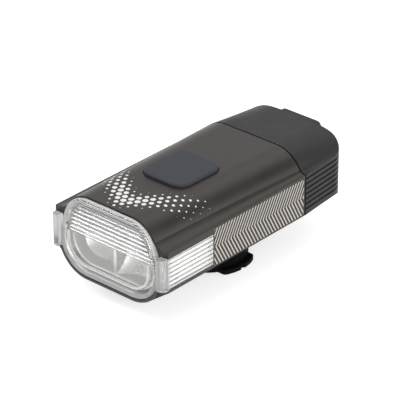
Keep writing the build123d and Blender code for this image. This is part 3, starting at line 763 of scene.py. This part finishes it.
# Clear polycarbonate with a ribbed inner face that is frosted between the ribs' grooves: from
# outside it looks white with thin dark lines, and the thick front corner looks grey and cloudy
@dataclass(frozen=True)
class RibbedWindow(Recipe):
    """Polycarbonate of the side windows."""

    window: Box
    name: str = "ribbed_moulded_polycarbonate"
    clear: Clear = Clear(through="FFFFFF")
    haze: str = "FCFCFB"
    cloud: str = "C4C4C3"
    haze_roughness: float = 0.5
    corner_depth: float = 2.9
    corner_haze: float = 0.4
    top_band: float = 0.7
    wall: float = 1.45
    rib_pitch: float = 1.35
    groove: float = 0.36

    def surface(self, sheet: NodeSheet) -> bpy.types.Node:
        """Builds the surface.

        Args:
            sheet: Sheet that it goes on.

        Returns:
            The shader's node.
        """
        place = Place.on(sheet)
        corner_end = self.window.low.y + self.corner_depth
        corner = sheet.add("Math", place.y, corner_end, operation="LESS_THAN")
        inner = Zone(
            (0.0, self.window.high.x - self.wall),
            (corner_end, self.window.high.y + self.wall),
            (self.window.low.z, self.window.high.z),
        ).mask(place)
        from_middle = sheet.add("Math", place.z, -self.window.middle.z, operation="ADD")
        turn = sheet.add("Math", from_middle, self.rib_pitch, 0.0, operation="WRAP")
        edge = sheet.add("Math", turn, self.rib_pitch / 2, operation="SUBTRACT")
        edge = sheet.add("Math", edge, operation="ABSOLUTE")
        rib = sheet.add("Math", edge, (self.rib_pitch - self.groove) / 2, operation="LESS_THAN")
        band = self.window.high.z - self.top_band
        top = sheet.add("Math", place.z, band, operation="GREATER_THAN")
        pale = sheet.add("Math", rib, top, operation="MAXIMUM")
        frost = sheet.add("Math", inner, pale, operation="MULTIPLY")
        cloud = sheet.add("Math", corner, self.corner_haze, operation="MULTIPLY")
        amount = sheet.add("Math", cloud, frost, operation="MAXIMUM")
        named = {6: srgb(self.haze), 7: srgb(self.cloud)}
        tone = sheet.add("Mix", corner, named=named, data_type="RGBA")
        named = {
            "Base Color": tone.outputs[2],
            "Roughness": self.haze_roughness,
            "IOR": self.clear.ior,
        }
        frosted = sheet.add("BsdfPrincipled", named=named)
        return sheet.add("MixShader", amount, self.clear.shader(sheet), frosted)


# Ceramic emitter package: matt white, with a yellow square of phosphor on the face that lights
@dataclass(frozen=True)
class EmitterPackage(Recipe):
    """Ceramic and phosphor of the light emitters."""

    emitter: Box
    name: str = "ceramic_and_phosphor"
    ceramic: str = "E9E8E4"
    phosphor: str = "E4C54A"
    phosphor_half: float = 1.2
    roughness: float = 0.5
    grain: Grain = Grain(0.15, 0.004)

    def surface(self, sheet: NodeSheet) -> bpy.types.Node:
        """Builds the surface.

        Args:
            sheet: Sheet that it goes on.

        Returns:
            The shader's node.
        """
        place = Place.on(sheet)
        side, along = abs(self.emitter.middle.x), self.emitter.middle.y
        lit = Zone(
            (side - self.phosphor_half, side + self.phosphor_half),
            (along - self.phosphor_half, along + self.phosphor_half),
            (self.emitter.low.z - PAST_MM, self.emitter.middle.z),
        ).mask(place)
        named = {6: srgb(self.ceramic), 7: srgb(self.phosphor)}
        colour = sheet.add("Mix", lit, named=named, data_type="RGBA")
        named = {
            "Base Color": colour.outputs[2],
            "Roughness": self.roughness,
            "Normal": self.grain.normal(sheet),
        }
        return sheet.add("BsdfPrincipled", named=named)


# Charging socket: bright deep-drawn steel shell, and a black blade with gold-plated contacts
@dataclass(frozen=True)
class SocketMetal(Recipe):
    """Steel, plastic and gold of the charging socket."""

    socket: Box
    name: str = "drawn_steel_and_gold_contacts"
    steel: str = "B4B5B7"
    plastic: str = "1A1A1C"
    gold: str = "D9A441"
    blade_half: float = 3.36
    blade_height: float = 0.72
    contact_pitch: float = 0.5
    contact_share: float = 0.5
    shell_wall: float = 1.0
    roughness: float = 0.28
    gloss_spread: float = 0.05
    cloud: Grain = Grain(1.5)
    grain: Grain = Grain(0.3, 0.003)

    def surface(self, sheet: NodeSheet) -> bpy.types.Node:
        """Builds the surface.

        Args:
            sheet: Sheet that it goes on.

        Returns:
            The shader's node.
        """
        place = Place.on(sheet)
        level = self.socket.middle.z
        blade = Zone(
            (0.0, self.blade_half),
            (self.socket.low.y + self.shell_wall, self.socket.high.y),
            (level - self.blade_height / 2, level + self.blade_height / 2),
        ).mask(place)
        turn = sheet.add("Math", place.side, self.contact_pitch, 0.0, operation="WRAP")
        width = self.contact_pitch * self.contact_share
        contact = sheet.add("Math", turn, width, operation="LESS_THAN")
        named = {6: srgb(self.plastic), 7: srgb(self.gold)}
        tongue = sheet.add("Mix", contact, named=named, data_type="RGBA")
        named = {6: srgb(self.steel), 7: tongue.outputs[2]}
        colour = sheet.add("Mix", blade, named=named, data_type="RGBA")
        bare = sheet.add("Math", 1.0, blade, operation="SUBTRACT")
        named = {
            "Base Color": colour.outputs[2],
            "Metallic": sheet.add("Math", bare, contact, operation="MAXIMUM"),
            "Roughness": self.cloud.spread(sheet, self.roughness, self.gloss_spread),
            "Normal": self.grain.normal(sheet),
        }
        return sheet.add("BsdfPrincipled", named=named)


class Finish(Enum):
    """The finishes of the light's pieces."""

    SHELL = auto()
    MOULDING = auto()
    TRAY = auto()
    LENS = auto()
    WINDOW = auto()
    REFLECTOR = auto()
    RUBBER = auto()
    SEAL = auto()
    GASKET = auto()
    BOARD = auto()
    EMITTER_BOARD = auto()
    EMITTER = auto()
    STATUS = auto()
    HEAT_METAL = auto()
    COMPONENT = auto()
    SOCKET = auto()
    STEEL = auto()
    TAB = auto()
    PACK = auto()
    FLEX = auto()
    MOUNT = auto()


def recipes() -> dict[Finish, Recipe]:
    """The recipe of each finish, fitted to the frame.

    Returns:
        The recipes by finish.
    """
    shell, lens = Box.of("top_shell"), Box.of("front_lens")
    window, reflector = Box.of("side_window_right"), Box.of("reflector")
    # Spark-eroded PC-ABS: charcoal, satin, with a fine even pebble that breaks up its gloss
    moulding = Plain(
        "spark_textured_pc_abs",
        "211F20",
        roughness=0.52,
        ior=1.55,
        specular=0.26,
        grain=Grain(0.25, 0.01),
    )
    # Glass-filled nylon: near black, its gloss broken by fibres near the surface
    nylon = Plain(
        "glass_filled_nylon",
        "0A0A0A",
        roughness=0.7,
        ior=1.53,
        specular=0.06,
        grain=Grain(0.3, 0.014),
    )
    return {
        Finish.SHELL: AnodisedShell(shell, window, lens),
        Finish.MOULDING: moulding,
        # The same PC-ABS, a little glossier, that takes the mount's near-black finish below the rear
        # cap's lowest point: grey above, near black at its foot
        Finish.TRAY: TwoFinish(
            "pc_abs_darker_below_cap",
            "2F2D2E",
            roughness=moulding.roughness,
            ior=moulding.ior,
            specular=0.4,
            grain=moulding.grain,
            foot=nylon,
            foot_top=Box.of("rear_cap").low.z,
        ),
        Finish.LENS: ClearLens(lens, reflector),
        Finish.WINDOW: RibbedWindow(window),
        # Vacuum-metallised polycarbonate: bright, a little hazy, it fills the window with pale grey
        Finish.REFLECTOR: Plain(
            "vacuum_metallised_polycarbonate",
            "F2F3F2",
            roughness=0.3,
            metallic=0.75,
            grain=Grain(0.8, 0.004),
        ),
        # Moulded silicone rubber: blue-grey, soft and almost without gloss
        Finish.RUBBER: Plain(
            "moulded_silicone_rubber", "2E3038", roughness=0.58, ior=1.41, grain=Grain(0.2, 0.006)
        ),
        # Die-cut black silicone: deep and dull, it draws the joints as dark lines
        Finish.SEAL: Plain(
            "black_silicone_gasket", "161617", roughness=0.65, ior=1.41, grain=Grain(0.3, 0.01)
        ),
        # Cast natural silicone: milky, it lightens the rim of the lens above it
        Finish.GASKET: Plain(
            "natural_silicone_gasket", "DADBDB", roughness=0.5, ior=1.41, grain=Grain(0.3, 0.005)
        ),
        # Fibreglass board under solder mask: smooth deep green
        Finish.BOARD: Plain(
            "solder_masked_fibreglass", "17432A", roughness=0.35, grain=Grain(0.6, 0.008)
        ),
        # Aluminium board under white solder mask: bright and satin, it throws stray light back
        Finish.EMITTER_BOARD: Plain(
            "white_masked_aluminium", "EDEDEA", roughness=0.4, grain=Grain(0.6, 0.006)
        ),
        Finish.EMITTER: EmitterPackage(Box.of("led_right")),
        # Small cast epoxy lens of the status light: pale, smooth
        Finish.STATUS: Plain(
            "cast_clear_epoxy", "DDE5DC", roughness=0.15, ior=1.55, grain=Grain(0.4, 0.003)
        ),
        # Milled aluminium: bright, with a slightly streaked gloss
        Finish.HEAT_METAL: Plain(
            "milled_aluminium", "BDBEC0", roughness=0.35, metallic=1.0, grain=Grain(0.5, 0.01)
        ),
        # Moulded epoxy of chips, switch and coil: black, dull
        Finish.COMPONENT: Plain(
            "moulded_black_epoxy", "1B1B1D", roughness=0.45, grain=Grain(0.2, 0.006)
        ),
        Finish.SOCKET: SocketMetal(Box.of("usb_socket")),
        # Zinc-plated steel: light grey and fairly bright, a little cloudy
        Finish.STEEL: Plain(
            "zinc_plated_steel", "8E8F92", roughness=0.32, metallic=1.0, grain=Grain(0.4, 0.004)
        ),
        # Rolled nickel strip: warm, bright
        Finish.TAB: Plain(
            "rolled_nickel_strip", "C2BFB8", roughness=0.3, metallic=1.0, grain=Grain(0.5, 0.004)
        ),
        # Heat-shrunk PVC film: blue, smooth, with faint wrinkles
        Finish.PACK: Plain("heat_shrunk_pvc", "1F4F91", roughness=0.28, grain=Grain(3.0, 0.08)),
        # Polyimide film: amber, glossy
        Finish.FLEX: Plain(
            "polyimide_film", "B8661C", roughness=0.3, ior=1.7, grain=Grain(1.0, 0.01)
        ),
        Finish.MOUNT: nylon,
    }


@dataclass
class SubAssembly:
    """CAD nodes that belong together with their finishes, and the new pieces that go with them."""

    materials: dict[Finish, bpy.types.Material]
    nodes: dict[str, Finish] = field(default_factory=dict)

    def dress(self, frame: dict) -> None:
        """Gives each CAD node its finish.

        Args:
            frame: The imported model.
        """
        for name, finish in self.nodes.items():
            slots = frame["nodes"][name].data.materials
            slots.clear()
            slots.append(self.materials[finish])
            LOG.info("node %s: %s", name, self.materials[finish].name)

    def pieces(self) -> None:
        """Builds the new pieces. A sub-assembly without any keeps this."""

    def build(self, frame: dict) -> None:
        """Dresses the nodes and builds the pieces."""
        self.dress(frame)
        self.pieces()


@dataclass
class Screws(SubAssembly):
    """A pair of countersunk screws, in millimetres, with a six-lobed recess, for one CAD node."""

    node: str = ""
    head_radius: float = 2.0
    shank_radius: float = 1.1
    recess_radius: float = 0.95
    recess_lobe: float = 0.13
    recess_depth: float = 1.0
    face_round: float = 0.12
    thread_pitch: float = 0.5
    thread_depth: float = 0.16
    lobes: int = 6
    segments: int = 48
    merge_mm: float = 0.001

    def ring(
        self, mesh: bmesh.types.BMesh, edges: Ring, radius: Callable[[float], float], z: float
    ) -> Ring:
        """Extrudes a ring of edges to a new radius and height.

        Args:
            mesh: The screw's mesh.
            edges: The ring.
            radius: Radius of the new ring at an angle, in millimetres.
            z: Height of the new ring, in millimetres.

        Returns:
            The new ring's edges.
        """
        grown = bmesh.ops.extrude_edge_only(mesh, edges=edges)["geom"]
        for vert in (item for item in grown if isinstance(item, bmesh.types.BMVert)):
            angle = math.atan2(vert.co.y, vert.co.x)
            reach = radius(angle) * MM
            vert.co = (reach * math.cos(angle), reach * math.sin(angle), z * MM)
        return [item for item in grown if isinstance(item, bmesh.types.BMEdge) and item.is_boundary]

    def lobed(self, angle: float) -> float:
        """Radius of the recess at an angle."""
        return self.recess_radius + self.recess_lobe * math.cos(self.lobes * angle)

    def one(self, length: float) -> bmesh.types.BMesh:
        """One screw that points up from the origin.

        Args:
            length: Its length in millimetres.

        Returns:
            Its mesh.
        """
        mesh = bmesh.new()
        bmesh.ops.create_circle(mesh, radius=self.head_radius * MM, segments=self.segments)
        rim = mesh.edges[:]
        for vert in mesh.verts:
            vert.co.z = self.face_round * MM
        inward = self.ring(mesh, rim, lambda a: self.head_radius - self.face_round, 0.0)
        mouth = self.ring(mesh, inward, lambda a: self.lobed(a) + self.face_round, 0.0)
        lip = self.ring(mesh, mouth, self.lobed, self.face_round)
        floor = self.ring(mesh, lip, self.lobed, self.recess_depth)
        bmesh.ops.edgeloop_fill(mesh, edges=floor)
        crest, root = self.shank_radius, self.shank_radius - self.thread_depth
        z = self.head_radius - self.shank_radius
        shank = self.ring(mesh, rim, lambda a: crest, z)
        while z + self.thread_pitch < length - self.thread_depth:
            shank = self.ring(mesh, shank, lambda a: root, z + self.thread_pitch / 2)
            shank = self.ring(mesh, shank, lambda a: crest, z + self.thread_pitch)
            z += self.thread_pitch
        tip = self.ring(mesh, shank, lambda a: crest, length - self.thread_depth)
        tip = self.ring(mesh, tip, lambda a: root, length)
        bmesh.ops.edgeloop_fill(mesh, edges=tip)
        bmesh.ops.remove_doubles(mesh, verts=mesh.verts, dist=self.merge_mm * MM)
        bmesh.ops.recalc_face_normals(mesh, faces=mesh.faces)
        # Extruding leaves the faces in no fixed order, so their places give them one
        mesh.faces.sort(key=lambda face: hash(tuple(face.calc_center_median())))
        return mesh

    def pieces(self) -> None:
        """Builds both screws where the CAD node stands."""
        box = Box.of(self.node)
        axis = 0 if box.half.x > box.half.y else 1
        mesh = self.one(box.high.z - box.low.z)
        reach = box.half[axis] - self.head_radius
        step = Vector((0.0, 0.0, 0.0))
        step[axis] = reach * MM
        foot = Vector((box.middle.x, box.middle.y, box.low.z)) * MM
        first_verts = mesh.verts[:]
        twin = bmesh.ops.duplicate(mesh, geom=first_verts + mesh.edges[:] + mesh.faces[:])["geom"]
        twin_verts = [item for item in twin if isinstance(item, bmesh.types.BMVert)]
        bmesh.ops.translate(mesh, verts=first_verts, vec=foot - step)
        bmesh.ops.translate(mesh, verts=twin_verts, vec=foot + step)
        piece = link(self.node + "_driven", mesh, self.materials[Finish.STEEL])
        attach(piece, "housing")
        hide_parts(self.node)
        LOG.info("piece %s: %d faces", piece.name, len(piece.data.polygons))


@dataclass(frozen=True)
class PhotoView:
    """The photograph's camera: a long lens and no shift."""

    azimuth: float = 41.739
    elevation: float = 28.383
    distance_mm: float = 718.392
    aside_mm: float = 24.162
    above_mm: float = 7.858
    aim_mm: tuple[float, float, float] = (0.0, -39.3, 24.0)
    lens_mm: float = 238.5
    sensor_mm: float = 36.0
    clip_start: float = 0.01

    def build(self) -> None:
        """Makes the camera and sets it as the scene's."""
        a, e = math.radians(self.azimuth), math.radians(self.elevation)
        back = Vector((math.sin(a) * math.cos(e), -math.cos(a) * math.cos(e), math.sin(e)))
        right = Vector((math.cos(a), math.sin(a), 0.0))
        up = Vector((-math.sin(a) * math.sin(e), math.cos(a) * math.sin(e), math.cos(e)))
        shift = right * self.aside_mm + up * self.above_mm
        place = Vector(self.aim_mm) + back * self.distance_mm + shift
        data = bpy.data.cameras.new("photo_camera")
        data.lens = self.lens_mm
        data.sensor_width = self.sensor_mm
        data.clip_start = self.clip_start
        camera = bpy.data.objects.new("photo_camera", data)
        turn = Matrix((right, up, back)).transposed().to_4x4()
        camera.matrix_world = Matrix.Translation(place * MM) @ turn
        bpy.context.scene.collection.objects.link(camera)
        bpy.context.scene.camera = camera


@dataclass(frozen=True)
class Softbox:
    """A square area lamp, in metres and watts, that faces the object from its direction."""

    name: str
    direction: Direction
    distance: float
    size: float
    power: float

    def build(self) -> None:
        """Makes the lamp."""
        data = bpy.data.lights.new(self.name, "AREA")
        data.size = self.size
        data.energy = self.power
        lamp = bpy.data.objects.new(self.name, data)
        lamp.matrix_world = facing(self.direction, self.distance)
        bpy.context.scene.collection.objects.link(lamp)


@dataclass(frozen=True)
class Flag:
    """A black card between two lamps that only gloss shows, placed by direction and distance."""

    name: str = "shoulder_flag"
    direction: Direction = (0.44, 0.66, 0.61)
    distance: float = 0.7
    half_size: float = 0.17

    def build(self) -> None:
        """Makes the card."""
        mesh = bmesh.new()
        bmesh.ops.create_grid(mesh, x_segments=1, y_segments=1, size=self.half_size)
        matrix = facing(self.direction, self.distance)
        bmesh.ops.transform(mesh, matrix=matrix, verts=mesh.verts)
        sheet = NodeSheet(bpy.data.materials.new("black_card"))
        gloss = sheet.add("LightPath").outputs["Is Glossy Ray"]
        unseen, black = sheet.add("BsdfTransparent"), sheet.add("BsdfDiffuse", srgb("000000"))
        material = sheet.finish(sheet.add("MixShader", gloss, unseen, black))
        card = link(self.name, mesh, material)


@dataclass
class Studio:
    """Pale floor, soft lamps with a black card between two, an even world and the camera."""

    floor_size: float = 3.0
    floor_drop_mm: float = 0.05
    floor_tone: str = "E6E6E6"
    floor_glow: float = 0.62
    world_light: float = 0.55
    softboxes: list[Softbox] = field(
        default_factory=lambda: [
            Softbox("key_softbox", (-0.4, -0.3, 0.85), distance=0.9, size=0.7, power=1.7),
            Softbox("fill_softbox", (0.85, -0.4, 0.35), distance=1.0, size=0.8, power=4.3),
            Softbox("glint_softbox", (-0.585, -0.476, 0.657), distance=1.0, size=0.2, power=0.9),
            Softbox("roof_softbox", (0.0, 0.66, 0.75), distance=0.9, size=0.55, power=0.8),
            Softbox("side_softbox", (0.74, 0.66, 0.2), distance=1.0, size=0.7, power=2.0),
        ]
    )

    def build(self) -> None:
        """Makes the camera, the floor, the world and the lamps."""
        PhotoView().build()
        self.floor()
        self.world()
        Flag().build()
        for softbox in self.softboxes:
            softbox.build()

    def seen(self, sheet: NodeSheet) -> bpy.types.Node:
        """Value that is 1 where the camera looks straight, by gloss or through glass.

        Args:
            sheet: Sheet that it goes on.

        Returns:
            The value's node.
        """
        rays = sheet.add("LightPath").outputs
        camera, gloss = rays["Is Camera Ray"], rays["Is Glossy Ray"]
        direct = sheet.add("Math", camera, gloss, operation="MAXIMUM")
        return sheet.add("Math", direct, rays["Is Transmission Ray"], operation="MAXIMUM")

    def floor(self) -> None:
        """Makes the floor, which looks white, takes the shadow and is unseen from below."""
        mesh = bmesh.new()
        bmesh.ops.create_grid(mesh, x_segments=1, y_segments=1, size=self.floor_size)
        bmesh.ops.translate(mesh, verts=mesh.verts, vec=(0.0, 0.0, -self.floor_drop_mm * MM))
        sheet = NodeSheet(bpy.data.materials.new("floor_paper"))
        paper = sheet.add("BsdfDiffuse", srgb(self.floor_tone))
        strength = sheet.add("Math", self.seen(sheet), self.floor_glow, operation="MULTIPLY")
        glow = sheet.add("Emission", named={"Strength": strength})
        under = sheet.add("NewGeometry").outputs["Backfacing"]
        lit, unseen = sheet.add("AddShader", paper, glow), sheet.add("BsdfTransparent")
        material = sheet.finish(sheet.add("MixShader", under, lit, unseen))
        floor = link("studio_floor", mesh, material)

    def world(self) -> None:
        """Makes an even world that is white to look at and dimmer as a light."""
        world = bpy.data.worlds.new("studio_world")
        sheet = NodeSheet(world)
        strength = sheet.add("MapRange", self.seen(sheet), 0.0, 1.0, self.world_light, 1.0)
        bpy.context.scene.world = sheet.finish(sheet.add("Background", srgb("FFFFFF"), strength))


def assemblies(materials: dict[Finish, bpy.types.Material]) -> list[SubAssembly]:
    """The sub-assemblies of the light, in the order in which they are built.

    Args:
        materials: The built finishes.

    Returns:
        The sub-assemblies.
    """
    body = {"top_shell": Finish.SHELL, "lower_tray": Finish.TRAY, "rear_cap": Finish.MOULDING}
    lamp = {
        "front_lens": Finish.LENS,
        "lens_gasket": Finish.GASKET,
        "side_window_left": Finish.WINDOW,
        "side_window_right": Finish.WINDOW,
        "reflector": Finish.REFLECTOR,
        "led_board": Finish.EMITTER_BOARD,
        "led_left": Finish.EMITTER,
        "led_right": Finish.EMITTER,
        "heat_block": Finish.HEAT_METAL,
        "thermal_pad": Finish.SEAL,
        "led_flex": Finish.FLEX,
    }
    controls = {
        "power_button": Finish.RUBBER,
        "button_seal": Finish.SEAL,
        "switch_plunger": Finish.COMPONENT,
        "tact_switch": Finish.COMPONENT,
        "status_led": Finish.STATUS,
    }
    circuit = {
        "main_board": Finish.BOARD,
        "board_screws": Finish.STEEL,
        "driver_chip": Finish.COMPONENT,
        "driver_coil": Finish.COMPONENT,
        "battery_pack": Finish.PACK,
        "battery_tabs": Finish.TAB,
    }
    port = {
        "rear_seal": Finish.SEAL,
        "usb_socket": Finish.SOCKET,
        "usb_cover": Finish.RUBBER,
        "usb_cover_anchor": Finish.RUBBER,
    }
    return [
        SubAssembly(materials, body),
        SubAssembly(materials, lamp),
        SubAssembly(materials, controls),
        SubAssembly(materials, circuit),
        SubAssembly(materials, port),
        SubAssembly(materials, {"bayonet_plate": Finish.MOUNT}),
        Screws(materials, {"tray_screws": Finish.STEEL}, node="tray_screws"),
        Screws(materials, {"cap_screws": Finish.STEEL}, node="cap_screws"),
        Screws(
            materials,
            {"plate_screws": Finish.STEEL},
            node="plate_screws",
            head_radius=2.2,
            shank_radius=1.2,
        ),
    ]


def main() -> None:
    """Builds the scene."""
    logging.basicConfig(level=logging.INFO, format="%(name)s: %(message)s")
    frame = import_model()
    bpy.context.scene.view_settings.view_transform = "Standard"
    Studio().build()
    materials = {finish: recipe.build() for finish, recipe in recipes().items()}
    for assembly in assemblies(materials):
        assembly.build(frame)


if __name__ == "__main__":
    main()
